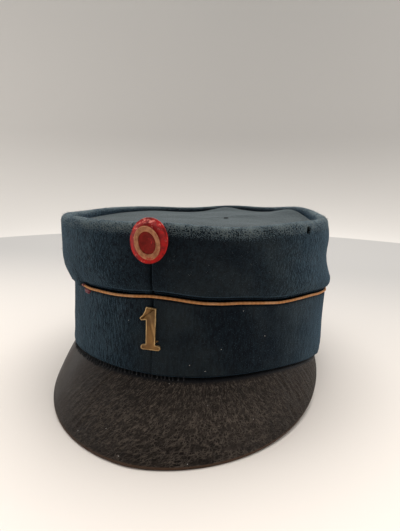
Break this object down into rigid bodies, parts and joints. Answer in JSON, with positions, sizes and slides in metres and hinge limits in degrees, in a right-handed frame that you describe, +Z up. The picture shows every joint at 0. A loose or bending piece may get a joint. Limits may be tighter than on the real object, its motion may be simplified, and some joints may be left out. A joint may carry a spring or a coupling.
{
  "type": "kepi cap",
  "caption": "Low wool kepi with a slouched crown, sunken top, tan piping, steep leather visor, oval cockade and a brass numeral.",
  "frame": {"origin": "bottom centre of the cap's bounding box, on the surface that it rests on", "axes": "+Z up as the cap rests, front and visor towards -Y, wearer's left towards +X"},
  "size_m": [0.1732, 0.2465, 0.1044],
  "materials": {
    "wool": "matt napped wool cloth, dark blue",
    "top_wool": "matt wool cloth, grey teal",
    "piping_cord": "matt twisted tan cord",
    "visor_leather": "worn cracked black leather with a low sheen",
    "badge_paint": "worn red paint with a cream ring",
    "brass": "dull tarnished brass"
  },
  "bodies": {
    "root": {"band": "wool", "crown": "wool", "crown_top": "top_wool", "piping": "piping_cord", "visor": "visor_leather", "cockade": "badge_paint", "numeral_1": "brass"}
  },
  "joints": []
}
